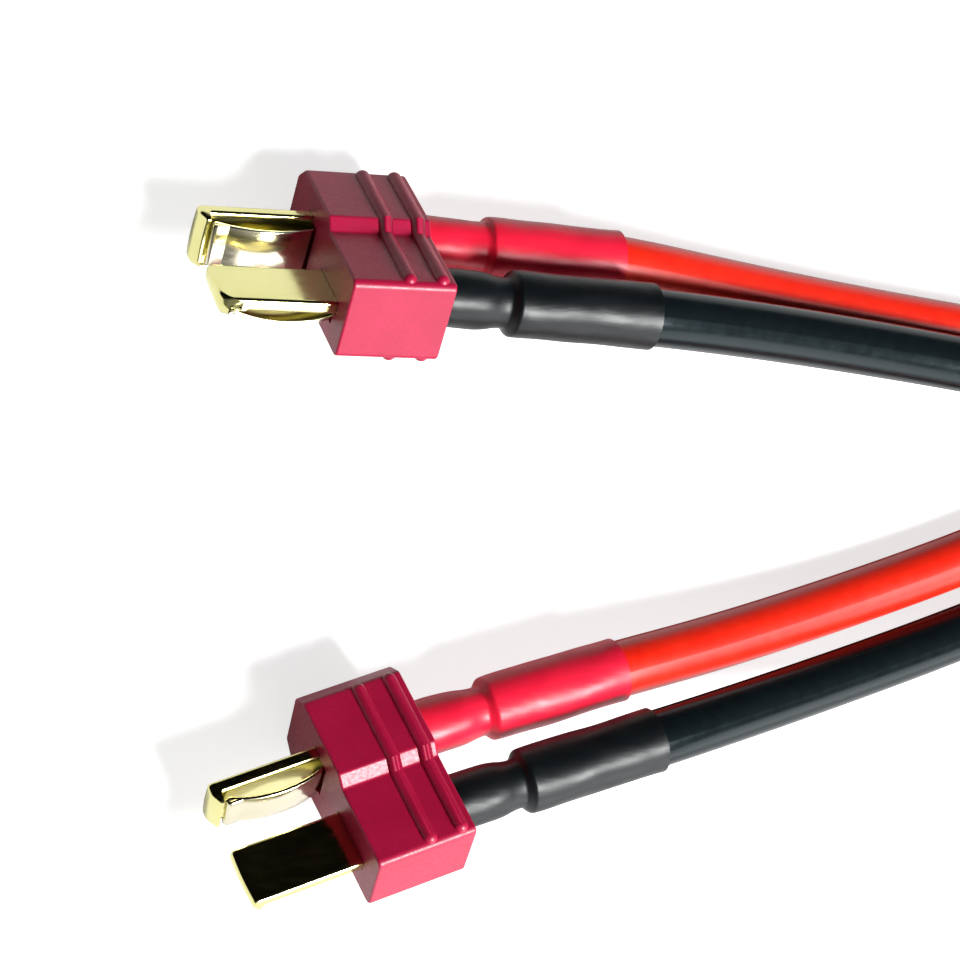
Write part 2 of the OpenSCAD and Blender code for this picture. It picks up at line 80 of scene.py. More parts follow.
def add_node(tree, kind, wires=None, **settings):
    node = tree.nodes.new(kind)
    for name, value in settings.items():
        setattr(node, name, value)
    for socket, value in (wires or {}).items():
        if isinstance(value, bpy.types.NodeSocket):
            tree.links.new(value, node.inputs[socket])
        else:
            node.inputs[socket].default_value = value
    return node


def new_finish(name):
    finish = bpy.data.materials.new(name)
    finish.use_nodes = True
    tree = finish.node_tree
    tree.nodes.clear()
    surface = add_node(tree, "ShaderNodeBsdfPrincipled")
    add_node(tree, "ShaderNodeOutputMaterial", {"Surface": surface.outputs[0]})
    return finish, tree, surface


# Silicone rubber is smooth and slightly greasy: its shine runs in long, uneven streaks
# where the extruded skin follows the strands, and a little dust dulls it in places.
def silicone(name, body_colour, worn_colour, gloss, sheen, sheen_tint):
    finish, tree, surface = new_finish(name)
    along = add_node(tree, "ShaderNodeAttribute", attribute_name="along")
    place = add_node(tree, "ShaderNodeTexCoord")
    streak_place = add_node(tree, "ShaderNodeMapping", {0: place.outputs["Object"], "Scale": (60, 400, 400)})
    streaks = add_node(tree, "ShaderNodeTexNoise", {"Vector": streak_place.outputs[0], "Scale": 1.0, "Detail": 3.0})
    dust = add_node(tree, "ShaderNodeTexNoise", {"Vector": place.outputs["Object"], "Scale": 900.0, "Detail": 3.0})
    waves = add_node(tree, "ShaderNodeTexNoise", {"W": along.outputs["Fac"], "Scale": 120.0}, noise_dimensions="1D")
    shade = add_node(tree, "ShaderNodeMix", {
        "Factor": dust.outputs[0], 6: linear(body_colour), 7: linear(worn_colour)}, data_type="RGBA")
    dull = add_node(tree, "ShaderNodeMapRange", {
        "Value": dust.outputs[0], "From Min": 0.3, "From Max": 0.7, "To Min": gloss, "To Max": gloss + 0.05})
    relief = add_node(tree, "ShaderNodeMath", {0: streaks.outputs[0], 1: waves.outputs[0]}, operation="ADD")
    bump = add_node(tree, "ShaderNodeBump", {"Strength": 0.3, "Distance": 0.00006, "Height": relief.outputs[0]})
    tree.links.new(shade.outputs[2], surface.inputs["Base Color"])
    tree.links.new(dull.outputs[0], surface.inputs["Roughness"])
    tree.links.new(bump.outputs[0], surface.inputs["Normal"])
    surface.inputs["IOR"].default_value = 1.43
    surface.inputs["Specular IOR Level"].default_value = sheen
    surface.inputs["Specular Tint"].default_value = sheen_tint
    return finish


red_silicone = silicone("red_silicone_rubber", "#D01808", "#DE2812", 0.34, 0.5, (1, 1, 1, 1))
# The black rubber's shine is tinted cool blue-green: a painted tint of its reflections, standing for the colour of the
# surroundings.
black_silicone = silicone("black_silicone_rubber", "#080D0F", "#0E1518", 0.2, 0.24, (0.76, 0.95, 1, 1))

# One geometry tree sweeps a rounded bar along a path: a wire, a grip rib or a bent strip.
# A corner radius of half the bar's width makes it round, and a dome can close its ends.
swept = bpy.data.node_groups.new("bar_along_path", "GeometryNodeTree")
swept_inputs = {}
for label, kind in (
    ("Path", "NodeSocketGeometry"), ("Width", "NodeSocketFloat"), ("Height", "NodeSocketFloat"),
    ("Corner", "NodeSocketFloat"), ("Corner Steps", "NodeSocketInt"), ("Dome", "NodeSocketFloat"),
    ("Finish", "NodeSocketMaterial"),
):
    swept_inputs[label] = swept.interface.new_socket(label, in_out="INPUT", socket_type=kind).identifier
swept.interface.new_socket("Bar", in_out="OUTPUT", socket_type="NodeSocketGeometry")
given = add_node(swept, "NodeGroupInput")
path_curve = add_node(swept, "GeometryNodeMeshToCurve", {"Mesh": given.outputs["Path"]})
path_length = add_node(swept, "GeometryNodeSplineParameter")
path_marked = add_node(swept, "GeometryNodeStoreNamedAttribute", {
    "Geometry": path_curve.outputs[0], "Name": "along", "Value": path_length.outputs["Length"]},
    data_type="FLOAT", domain="POINT")
path_upright = add_node(swept, "GeometryNodeSetCurveNormal", {"Curve": path_marked.outputs[0]})
path_upright.mode = "Z_UP"
section = add_node(swept, "GeometryNodeCurvePrimitiveQuadrilateral", {
    "Width": given.outputs["Width"], "Height": given.outputs["Height"]})
section_round = add_node(swept, "GeometryNodeFilletCurve", {
    "Curve": section.outputs[0], "Count": given.outputs["Corner Steps"], "Radius": given.outputs["Corner"]},
    mode="POLY")
bar = add_node(swept, "GeometryNodeCurveToMesh", {
    "Curve": path_upright.outputs[0], "Profile Curve": section_round.outputs[0], "Fill Caps": True})
ends = add_node(swept, "GeometryNodeCurveEndpointSelection")
dome = add_node(swept, "GeometryNodeMeshUVSphere", {"Segments": 24, "Rings": 12, "Radius": given.outputs["Dome"]})
domes = add_node(swept, "GeometryNodeInstanceOnPoints", {
    "Points": path_upright.outputs[0], "Selection": ends.outputs[0], "Instance": dome.outputs[0]})
has_dome = add_node(swept, "FunctionNodeCompare", {"A": given.outputs["Dome"], "B": 0.0}, operation="GREATER_THAN")
no_domes = add_node(swept, "GeometryNodeDeleteGeometry", {
    "Geometry": domes.outputs[0]}, domain="INSTANCE")
wants_none = add_node(swept, "FunctionNodeBooleanMath", {0: has_dome.outputs[0]}, operation="NOT")
swept.links.new(wants_none.outputs[0], no_domes.inputs["Selection"])
both = add_node(swept, "GeometryNodeJoinGeometry")
swept.links.new(bar.outputs[0], both.inputs[0])
swept.links.new(no_domes.outputs[0], both.inputs[0])
solid = add_node(swept, "GeometryNodeRealizeInstances", {"Geometry": both.outputs[0]})
smooth = add_node(swept, "GeometryNodeSetShadeSmooth", {"Geometry": solid.outputs[0]})
coated = add_node(swept, "GeometryNodeSetMaterial", {
    "Geometry": smooth.outputs[0], "Material": given.outputs["Finish"]})
add_node(swept, "NodeGroupOutput", {0: coated.outputs[0]})


def bare_object(name, mesh):
    piece = bpy.data.objects.new(name, mesh)
    bpy.context.scene.collection.objects.link(piece)
    return piece


# Turns what a piece's modifiers make into its plain mesh, with sharp edges past an angle.
def settle(piece, sharp_angle=None):
    bpy.context.view_layer.update()
    shown = piece.evaluated_get(bpy.context.evaluated_depsgraph_get())
    plain = bpy.data.meshes.new_from_object(shown)
    piece.modifiers.clear()
    piece.data = plain
    plain.name = piece.name
    if sharp_angle is not None:
        plain.shade_smooth()
        plain.set_sharp_from_angle(angle=math.radians(sharp_angle))
    return piece


def bar_along(name, points, width, height, corner, finish, corner_steps=4, dome=0.0):
    line = bpy.data.meshes.new(name)
    line.from_pydata(points, [(i, i + 1) for i in range(len(points) - 1)], [])
    piece = bare_object(name, line)
    modifier = piece.modifiers.new("sweep", "NODES")
    modifier.node_group = swept
    values = {"Width": width, "Height": height, "Corner": corner, "Corner Steps": corner_steps,
              "Dome": dome, "Finish": finish}
    for label, value in values.items():
        modifier[swept_inputs[label]] = value
    return settle(piece)


# Stiff silicone wire has no sudden bends, so it follows the points of its route smoothly
# and lies on the table with its underside.
def laid_wire(points, steps):
    points = [Vector((x, y, max(z, wire_width / 2))) for x, y, z in points]
    for _ in range(3):
        relaxed = [(a + 2 * b + c) / 4 for a, b, c in zip(points[2:], points[3:], points[4:])]
        points = points[:3] + relaxed[:-2] + points[-3:]
    run = [points[0] * 2 - points[1]] + points + [points[-1] * 2 - points[-2]]
    line = []
    for a, b, c, d in zip(run, run[1:], run[2:], run[3:]):
        for i in range(steps):
            t = i / steps
            line.append(((1 - t) ** 3 * a + (3 * t ** 3 - 6 * t * t + 4) * b
                         + (3 * t * t - 3 * t ** 3 + 3 * t + 1) * c + t ** 3 * d) / 6)
    return line + [points[-1]]


# A smooth line that passes through every point.
def eased(points, steps):
    points = [Vector(p) for p in points]
    run = [points[0] * 2 - points[1]] + points + [points[-1] * 2 - points[-2]]
    line = []
    for a, b, c, d in zip(run, run[1:], run[2:], run[3:]):
        for i in range(steps):
            t = i / steps
            line.append(0.5 * (2 * b + (c - a) * t + (2 * a - 5 * b + 4 * c - d) * t * t
                               + (3 * b - a - 3 * c + d) * t ** 3))
    return line + [points[-1]]


wire_width = 4.75
wire_routes = {
    "wire_a_red": [
        (-46.9, 23.25, 5.6), (-40.9, 23, 5.6), (-34.9, 22.7, 5.6), (-28, 21.8, 4.6), (-21, 20.8, 3.4),
        (-14, 19.9, 2.6), (-7, 19.2, 2.3), (0, 18.4, 2.3), (7, 17.7, 2.3), (14, 16.9, 2.6),
        (21, 16, 3.5), (28, 15, 5.2), (34.5, 13.8, 6.9), (41, 12.8, 7.4), (47.5, 12.8, 7.4)],
    "wire_a_black": [
        (-46.9, 18.9, 11.15), (-40.9, 18.65, 11.15), (-34.9, 18.35, 11.15), (-28, 18.1, 10), (-21, 17.5, 8.7),
        (-14, 16.8, 7.4), (-7, 16.1, 6.5), (0, 15.4, 6.1), (7, 14.5, 5.9), (14, 13.3, 6.1),
        (21, 11.7, 6.6), (28, 9.7, 7.1), (34.5, 7.4, 7.4), (41, 5.3, 7.4), (47.5, 5.3, 7.4)],
    "wire_b_red": [
        (-45.4, -13.95, 5.75), (-39.65, -12.4, 5.75), (-33.85, -10.85, 5.75), (-28, -9.9, 5), (-21, -8.3, 3.9),
        (-14, -6.3, 2.9), (-7, -4.4, 2.4), (0, -2.3, 2.3), (7, 0.1, 2.3), (14, 2.9, 2.3),
        (21, 6.2, 2.3), (28, 9.4, 2.3), (34.5, 11.9, 2.4), (41, 12.8, 2.75), (47.5, 12.8, 2.75)],
    "wire_b_black": [
        (-43.7, -19.3, 9.8), (-37.95, -17.75, 9.8), (-32.15, -16.2, 9.8), (-28, -15.2, 9.2), (-21, -13.8, 7.5),
        (-14, -12.2, 5.5), (-7, -10.5, 4), (0, -8.7, 2.9), (7, -6.5, 2.4), (14, -3.9, 2.3),
        (21, -0.9, 2.3), (28, 2.1, 2.3), (34.5, 4.5, 2.4), (41, 5.3, 2.75), (47.5, 5.3, 2.75)],
}
for wire_name, route in wire_routes.items():
    line = [p * MM for p in laid_wire(route, 10)]
    finish = red_silicone if wire_name.endswith("red") else black_silicone
    wire = bar_along(
        wire_name + "_insulation", line, wire_width * MM, wire_width * MM, wire_width / 2 * MM, finish,
        corner_steps=9)
    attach(wire, "harness")
    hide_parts(wire_name)

# The bodies of the plugs and of the socket. Crimson glass-filled nylon, injection moulded
# in one shot: a thick and a thin half, softened edges, and half-round ribs for the fingers.
body_width, body_length = 16.0, 8.5
thick_half, thin_half = 4.4, 3.5
chamfer, step_run = 1.2, 0.9
end_rounding, long_rounding = 0.6, 0.35
rib_width, rib_height = 1.2, 0.45
rib_radius = ((rib_width / 2) ** 2 + rib_height ** 2) / (2 * rib_height)
rib_line = [
    (-body_width / 2 + 0.3 + rib_width / 2, thin_half - rib_radius + rib_height),
    (-step_run, thin_half - rib_radius + rib_height),
    (0, thick_half - rib_radius + rib_height),
    (body_width / 2 - chamfer - 0.4 * rib_width, thick_half - rib_radius + rib_height)]


# A closed outline with each corner rounded to its own radius, drawn in by an inset.
def rounded_outline(corners, radii, inset=0.0, steps=4):
    outline = []
    count = len(corners)
    for i, radius in enumerate(radii):
        before, here, after = (Vector(corners[(i + k) % count]) for k in (-1, 0, 1))
        back, on = (before - here).normalized(), (after - here).normalized()
        half = back.angle(on) / 2
        middle = here + (back + on).normalized() * radius / math.sin(half)
        outward = (here - before).x * (after - here).y - (here - before).y * (after - here).x > 0
        reach = radius - inset if outward else radius + inset
        start = here + back * radius / math.tan(half) - middle
        end = here + on * radius / math.tan(half) - middle
        turn = (math.atan2(end.y, end.x) - math.atan2(start.y, start.x) + math.pi) % math.tau - math.pi
        for s in range(steps + 1):
            angle = math.atan2(start.y, start.x) + turn * s / steps
            outline.append(middle + reach * Vector((math.cos(angle), math.sin(angle))))
    return outline


def body_outline(inset=0.0):
    w = body_width / 2
    upper = [(w, thick_half - chamfer), (w - chamfer, thick_half), (0, thick_half),
             (-step_run, thin_half), (-w, thin_half)]
    lower = [(y, -z) for y, z in reversed(upper)]
    radii = [end_rounding, long_rounding, long_rounding, end_rounding, end_rounding]
    return rounded_outline(lower + upper, radii + radii[::-1], inset)


# How the two plugs lie: rolled onto the chamfered end of the body by their stiff wires.
# A plug's own frame has its rear face at x = 0, the blades towards -x and y across it.
def rest_height(roll):
    over, level = math.sin(math.radians(roll)), math.cos(math.radians(roll))
    tip = rib_line[3]
    return max([p.x * over - p.y * level for p in body_outline()]
               + [tip[0] * over + tip[1] * level + 0.98 * rib_radius])


def laid(place, roll, heading):
    return (
        Matrix.Scale(MM, 4) @ Matrix.Translation((place[0], place[1], rest_height(roll)))
        @ Matrix.Rotation(math.radians(heading), 4, "Z") @ Matrix.Rotation(math.radians(-roll), 4, "X"))


rolls = {"plug_a": 56, "plug_b": 38}
plugs = {"plug_a": laid((-53.7, 21.4), 56, 0), "plug_b": laid((-51.2, -18.25), 38, 17.5)}


def loft(name, rings, closed_ends=True):
    shape = bmesh.new()
    rows = [[shape.verts.new(p) for p in ring] for ring in rings]
    for row, following in zip(rows, rows[1:]):
        for i in range(len(row)):
            j = (i + 1) % len(row)
            shape.faces.new((row[i], row[j], following[j], following[i]))
    if closed_ends:
        shape.faces.new(list(reversed(rows[0])))
        shape.faces.new(rows[-1])
    bmesh.ops.recalc_face_normals(shape, faces=shape.faces)
    mesh = bpy.data.meshes.new(name)
    shape.to_mesh(mesh)
    shape.free()
    return bare_object(name, mesh)


def block(name, low, high):
    shape = bmesh.new()
    bmesh.ops.create_cube(shape, size=1)
    for v in shape.verts:
        v.co = [(a + b) / 2 + c * (b - a) for a, b, c in zip(low, high, v.co)]
    mesh = bpy.data.meshes.new(name)
    shape.to_mesh(mesh)
    shape.free()
    return bare_object(name, mesh)


def joined(name, pieces):
    shape = bmesh.new()
    for piece in pieces:
        shape.from_mesh(piece.data)
        bpy.data.objects.remove(piece)
    mesh = bpy.data.meshes.new(name)
    shape.to_mesh(mesh)
    shape.free()
    return bare_object(name, mesh)


def carve(piece, cutters):
    for cutter in cutters:
        cut = piece.modifiers.new("carve", "BOOLEAN")
        cut.operation, cut.object, cut.solver = "DIFFERENCE", cutter, "EXACT"
    settle(piece)
    for cutter in cutters:
        bpy.data.objects.remove(cutter)
    return piece


edge_rounding = 0.2


def moulded_body(name, length, towards, pockets):
    quarter = [math.radians(a) for a in (90, 60, 30, 0)]
    stations = [(edge_rounding * (1 - math.sin(a)), edge_rounding * (1 - math.cos(a))) for a in quarter]
    stations += [(length - x, inset) for x, inset in reversed(stations)]
    rings = [[(towards * x, p.x, p.y) for p in body_outline(inset)] for x, inset in stations]
    return carve(loft(name, rings), pockets)


# Nylon takes the fine spark-eroded grain of its mould. It looks deep crimson where it turns
# from the light and pinkish where light grazes it, with a few lighter flow clouds.
def moulded_nylon():
    finish, tree, surface = new_finish("crimson_moulded_nylon")
    place = add_node(tree, "ShaderNodeTexCoord")
    grain = add_node(tree, "ShaderNodeTexNoise", {
        "Vector": place.outputs["Object"], "Scale": 3200.0, "Detail": 3.0, "Roughness": 0.6})
    clouds = add_node(tree, "ShaderNodeTexNoise", {
        "Vector": place.outputs["Object"], "Scale": 280.0, "Detail": 4.0, "Roughness": 0.55})
    tone = add_node(tree, "ShaderNodeMapRange", {
        "Value": clouds.outputs[0], "From Min": 0.35, "From Max": 0.7, "To Min": 0.0, "To Max": 1.0})
    shade = add_node(tree, "ShaderNodeMix", {
        "Factor": tone.outputs[0], 6: linear("#A10B35"), 7: linear("#B01540")}, data_type="RGBA")
    fleck = add_node(tree, "ShaderNodeMix", {
        "Factor": grain.outputs[0], 6: shade.outputs[2], 7: linear("#8A0A30")}, data_type="RGBA")
    dull = add_node(tree, "ShaderNodeMapRange", {
        "Value": grain.outputs[0], "From Min": 0.3, "From Max": 0.7, "To Min": 0.33, "To Max": 0.45})
    bump = add_node(tree, "ShaderNodeBump", {"Strength": 0.35, "Distance": 0.00002, "Height": grain.outputs[0]})
    tree.links.new(fleck.outputs[2], surface.inputs["Base Color"])
    tree.links.new(dull.outputs[0], surface.inputs["Roughness"])
    tree.links.new(bump.outputs[0], surface.inputs["Normal"])
    surface.inputs["IOR"].default_value = 1.53
    surface.inputs["Specular IOR Level"].default_value = 0.35
    return finish


crimson_nylon = moulded_nylon()

# Where the two contacts sit. The flat one lies along the body's width in its thin half,
# the upright one stands across it in the thick half, and both hook towards the middle.
blade_width, blade_thickness, blade_reach = 4.9, 1.05, 9.4
leaf_width, leaf_thickness, leaf_gap, leaf_bow = 3.6, 0.35, 0.3, 0.9
tab_width, tab_reach = 3.0, 4.8
flat_seat = Matrix.Translation((-body_length, -3.55, 0.25))
upright_seat = Matrix.Translation((-body_length, 3.9, 0)) @ Matrix.Rotation(math.radians(-90), 4, "X")
contact_seats = {"flat": flat_seat, "upright": upright_seat}


def seated(cutter, seat):
    cutter.data.transform(seat)
    return cutter


def dress(piece, place, finish, node, body="harness", sharp_angle=None, flats=False):
    piece.data.transform(place)
    piece.data.materials.clear()
    piece.data.materials.append(finish)
    piece.data.shade_smooth()
    if sharp_angle is not None:
        piece.data.set_sharp_from_angle(angle=math.radians(sharp_angle))
    if flats:
        weighted = piece.modifiers.new("flats", "WEIGHTED_NORMAL")
        weighted.keep_sharp = True
        settle(piece)
    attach(piece, body)
    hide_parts(node)
    return piece


# Grip ribs: each is one round bar that follows the step of the body and sinks into it.
def grip_ribs(towards):
    ribs = []
    for x in (1.1, 3.8):
        for side in (-1, 1):
            line = [(towards * x * MM, y * MM, side * z * MM) for y, z in rib_line]
            rib = bar_along("rib", line, 2 * rib_radius * MM, 2 * rib_radius * MM, rib_radius * MM,
                            crimson_nylon, corner_steps=6, dome=rib_radius * MM)
            rib.data.transform(Matrix.Scale(1 / MM, 4))
            ribs.append(rib)
    return ribs


for plug, place in plugs.items():
    pockets = []
    for seat in contact_seats.values():
        pockets.append(seated(block("pocket", (-1, -blade_width / 2 - 0.03, -blade_thickness - 0.03),
                                    (6.3, blade_width / 2 + 0.03, 0.03)), seat))
        pockets.append(seated(block("pocket", (-1, -2.0, -2.2), (0.8, 2.0, -0.9)), seat))
    body = moulded_body(plug + "_shell", body_length, -1, pockets)
    whole = joined(plug + "_body", [body] + grip_ribs(-1))
    dress(whole, place, crimson_nylon, plug + "_housing", sharp_angle=40, flats=True)

# The contacts. Stamped brass bars, each with a hooked nose in front and a narrow tab for
# solder behind, tumbled and then plated with bright gold over nickel.
def gold_plate(name, light, deep, roughness):
    finish, tree, surface = new_finish(name)
    place = add_node(tree, "ShaderNodeTexCoord")
    rub_place = add_node(tree, "ShaderNodeMapping", {0: place.outputs["Object"], "Scale": (300, 2600, 2600)})
    rubs = add_node(tree, "ShaderNodeTexNoise", {"Vector": rub_place.outputs[0], "Scale": 1.0, "Detail": 5.0})
    waves = add_node(tree, "ShaderNodeTexNoise", {"Vector": place.outputs["Object"], "Scale": 420.0, "Detail": 1.0})
    shade = add_node(tree, "ShaderNodeMix", {
        "Factor": waves.outputs[0], 6: linear(light), 7: linear(deep)}, data_type="RGBA")
    dull = add_node(tree, "ShaderNodeMapRange", {
        "Value": rubs.outputs[0], "From Min": 0.35, "From Max": 0.7,
        "To Min": roughness, "To Max": roughness + 0.1})
    relief = add_node(tree, "ShaderNodeMath", {0: rubs.outputs[0], 1: 0.15, 2: waves.outputs[0]},
                      operation="MULTIPLY_ADD")
    bump = add_node(tree, "ShaderNodeBump", {"Strength": 0.15, "Distance": 0.00004, "Height": relief.outputs[0]})
    tree.links.new(shade.outputs[2], surface.inputs["Base Color"])
    tree.links.new(dull.outputs[0], surface.inputs["Roughness"])
    tree.links.new(bump.outputs[0], surface.inputs["Normal"])
    surface.inputs["Metallic"].default_value = 1.0
    return finish


bright_gold = gold_plate("bright_gold_plated_brass", "#E9E5A6", "#DCD78F", 0.1)
spring_gold = gold_plate("gold_plated_spring_bronze", "#E9E4D0", "#D8CFAE", 0.14)


# The bar is drawn as its side view, carried across its width: every edge is tumbled round,
# the front edge bulges, and each front corner has its own radius.
edge_softness, front_bulge = 0.26, 0.12
nose_back, nose_deep = -blade_reach + 0.9, 1.95


def contact_bar(name, corner_low, corner_high):
    side_view = [(-blade_reach, 0), (-blade_reach, -0.95), (-blade_reach + 0.5, -nose_deep),
                 (nose_back, -nose_deep), (nose_back, -blade_thickness), (6.3, -blade_thickness), (6.3, 0)]
    radii = [0.36, 0.9, 0.36, 0.34, 0.08, 0.34, 0.34]
    half = blade_width / 2
    rings = []
    for i in range(37):
        y = half * math.sin(math.radians(-90 + 5 * i))
        corner = corner_low if y < 0 else corner_high
        past = max(0, abs(y) - half + edge_softness)
        inset = edge_softness - math.sqrt(max(0, edge_softness ** 2 - past ** 2))
        past = max(0, abs(y) - half + corner)
        drawn = front_bulge * (y / half) ** 2 + corner - math.sqrt(max(0, corner ** 2 - past ** 2))
        ring = []
        for p in rounded_outline(side_view, radii, inset, steps=5):
            x, z = p.x, p.y
            if x < nose_back - 0.02:
                x += drawn
                if z < -blade_thickness:
                    x = min(x, nose_back - 0.01)
                    z = -blade_thickness + (z + blade_thickness) * (1 - 0.75 * (past / corner) ** 2)
            ring.append((x, y, z))
        rings.append(ring)
    tab = block("tab", (6.0, -tab_width / 2, -blade_thickness), (body_length + tab_reach, tab_width / 2, 0))
    return joined(name, [loft("bar", rings), tab])


front_corners = {
    "plug_a_flat": (1.4, 0.4), "plug_a_upright": (0.2, 0.8), "plug_b_flat": (0.25, 0.25), "plug_b_upright": (0.25, 0.8)}
for plug, place in plugs.items():
    for side, seat in contact_seats.items():
        node = f"{plug}_{side}_blade"
        contact = contact_bar(node + "_contact", *front_corners[f"{plug}_{side}"])
        dress(contact, place @ seat, bright_gold, node, sharp_angle=50, flats=True)


# The leaf springs. Thin spring strip, bowed away from the blade and folded back on itself
# behind the nose; it gives way when the blade enters a socket.
def leaf_line():
    front, back = -blade_reach + 0.9 + 0.2 + 0.375, 0.6
    chord = back - front
    bow_radius = chord ** 2 / (8 * leaf_bow) + leaf_bow / 2
    half = math.asin(chord / 2 / bow_radius)
    middle = (front + back) / 2
    base = -(blade_thickness + leaf_gap + leaf_thickness / 2)
    line = [(middle + bow_radius * math.sin(a), base - leaf_bow + bow_radius - bow_radius * math.cos(a))
            for a in (half - 2 * half * i / 32 for i in range(33))]
    fold = 0.2
    for i in range(1, 13):
        turn = math.radians(180 * i / 12)
        line.append((front - fold * math.sin(turn), base - fold * (1 - math.cos(turn))))
    line.append((front + 0.55, base - 2 * fold))
    line.append((front + 0.95, base - 2 * fold + 0.04))
    return line


for plug, place in plugs.items():
    for side, seat in contact_seats.items():
        node = f"{plug}_{side}_leaf"
        strip = bar_along(node + "_spring", [(x * MM, z * MM, 0) for x, z in leaf_line()],
                          leaf_thickness * MM, leaf_width * MM, 0.1 * MM, spring_gold, corner_steps=2)
        lie_down = Matrix.Scale(1 / MM, 4) @ Matrix.Rotation(math.radians(90), 4, "X")
        dress(strip, place @ seat @ lie_down, spring_gold, node,
              body=node + "_body", sharp_angle=50)

# The soldered joints under the sleeves. Tin solder wets the tab and the strand bundle;
# it is dull silver, a little grainy where it froze.
def tin_solder():
    finish, tree, surface = new_finish("tin_solder")
    place = add_node(tree, "ShaderNodeTexCoord")
    frost = add_node(tree, "ShaderNodeTexNoise", {"Vector": place.outputs["Object"], "Scale": 1500.0, "Detail": 5.0})
    shade = add_node(tree, "ShaderNodeMix", {
        "Factor": frost.outputs[0], 6: linear("#A9ADB3"), 7: linear("#D3D6DA")}, data_type="RGBA")
    bump = add_node(tree, "ShaderNodeBump", {"Strength": 0.4, "Distance": 0.0001, "Height": frost.outputs[0]})
    tree.links.new(shade.outputs[2], surface.inputs["Base Color"])
    tree.links.new(bump.outputs[0], surface.inputs["Normal"])
    surface.inputs["Metallic"].default_value = 1.0
    surface.inputs["Roughness"].default_value = 0.35
    return finish


solder = tin_solder()
for node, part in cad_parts.items():
    if node.endswith("_joint"):
        part.data.materials.clear()
        part.data.materials.append(solder)


# The sleeves. Polyolefin tube, shrunk with hot air: it swells over the solder, draws in
# behind it and grips the wire, with soft lumps, and its cut ends stay a little open.
def shrunk_polyolefin(name, body_colour, thin_colour, gloss):
    finish, tree, surface = new_finish(name)
    place = add_node(tree, "ShaderNodeTexCoord")
    drag_place = add_node(tree, "ShaderNodeMapping", {0: place.outputs["Object"], "Scale": (200, 900, 900)})
    drags = add_node(tree, "ShaderNodeTexNoise", {"Vector": drag_place.outputs[0], "Scale": 1.0, "Detail": 4.0})
    lumps = add_node(tree, "ShaderNodeTexNoise", {"Vector": place.outputs["Object"], "Scale": 260.0, "Detail": 2.0})
    shade = add_node(tree, "ShaderNodeMix", {
        "Factor": lumps.outputs[0], 6: linear(body_colour), 7: linear(thin_colour)}, data_type="RGBA")
    dull = add_node(tree, "ShaderNodeMapRange", {
        "Value": drags.outputs[0], "From Min": 0.3, "From Max": 0.7, "To Min": gloss, "To Max": gloss + 0.15})
    relief = add_node(tree, "ShaderNodeMath", {0: drags.outputs[0], 1: 0.3, 2: lumps.outputs[0]},
                      operation="MULTIPLY_ADD")
    bump = add_node(tree, "ShaderNodeBump", {"Strength": 0.45, "Distance": 0.0003, "Height": relief.outputs[0]})
    tree.links.new(shade.outputs[2], surface.inputs["Base Color"])
    tree.links.new(dull.outputs[0], surface.inputs["Roughness"])
    tree.links.new(bump.outputs[0], surface.inputs["Normal"])
    surface.inputs["IOR"].default_value = 1.5
    surface.inputs["Specular IOR Level"].default_value = 0.3
    return finish


red_polyolefin = shrunk_polyolefin("red_shrunk_polyolefin", "#D01430", "#DE203C", 0.3)
black_polyolefin = shrunk_polyolefin("black_shrunk_polyolefin", "#04070A", "#0B1113", 0.33)

sleeve_wall = 0.35
sleeve_shape = [
    (-0.08, 2.24), (0.4, 2.29), (1.0, 2.33), (2.0, 2.35), (3.0, 2.34), (3.9, 2.31), (4.6, 2.22), (5.2, 2.09),
    (5.7, 2.01), (6.1, 2.0), (6.35, 2.08), (6.6, 2.38), (6.85, 2.62), (7.2, 2.67), (8.0, 2.69), (10.0, 2.68),
    (12.0, 2.7), (14.0, 2.68), (16.0, 2.69), (17.6, 2.69), (18.5, 2.7)]


def eased_profile(shape, steps=4):
    return [(p.x, p.y) for p in eased([(x, r, 0) for x, r in shape], steps)]


def sleeve_tube(name, shape, centre, phase):
    outside = eased_profile(shape)
    around = 48
    rings = []
    for wall, profile in ((0, outside), (sleeve_wall, list(reversed(outside)))):
        for x, r in profile:
            ring = []
            for i in range(around):
                turn = math.tau * i / around
                lump = 0.03 * math.sin(2 * turn + phase + 0.5 * x) + 0.02 * math.sin(3 * turn - phase + 0.9 * x)
                reach = r - wall + lump * min(1, x / 2)
                ring.append((x, centre[0] + reach * math.cos(turn), centre[1] + reach * math.sin(turn)))
            rings.append(ring)
    return loft_ring(name, rings)


def loft_ring(name, rings):
    shape = bmesh.new()
    rows = [[shape.verts.new(p) for p in ring] for ring in rings]
    for row, following in zip(rows, rows[1:] + rows[:1]):
        for i in range(len(row)):
            j = (i + 1) % len(row)
            shape.faces.new((row[i], row[j], following[j], following[i]))
    bmesh.ops.recalc_face_normals(shape, faces=shape.faces)
    mesh = bpy.data.meshes.new(name)
    shape.to_mesh(mesh)
    shape.free()
    return bare_object(name, mesh)


tab_centres = {"red": (3.375, 0.0), "black": (-3.55, -0.275)}
sleeve_cuts = {
    "plug_a_red_sleeve": (0, 0.3), "plug_a_black_sleeve": (0.7, 1),
    "plug_b_red_sleeve": (0.4, 0.8), "plug_b_black_sleeve": (0.4, 1)}
sleeve_finishes = {"red": red_polyolefin, "black": black_polyolefin}


# The wires' weight turns them a little against their plugs, and the sleeves with them.
def leaned(plug, centre, side_set):
    roll = math.radians(rolls[plug])
    upright = Vector((0, -math.sin(roll), math.cos(roll)))
    aside = Vector((0, math.cos(roll), math.sin(roll)))
    tab = Vector((0, centre[0], centre[1]))
    return (Matrix.Translation(tab + side_set * aside) @ Matrix.Rotation(math.radians(-2.5), 4, upright)
            @ Matrix.Translation(-tab))


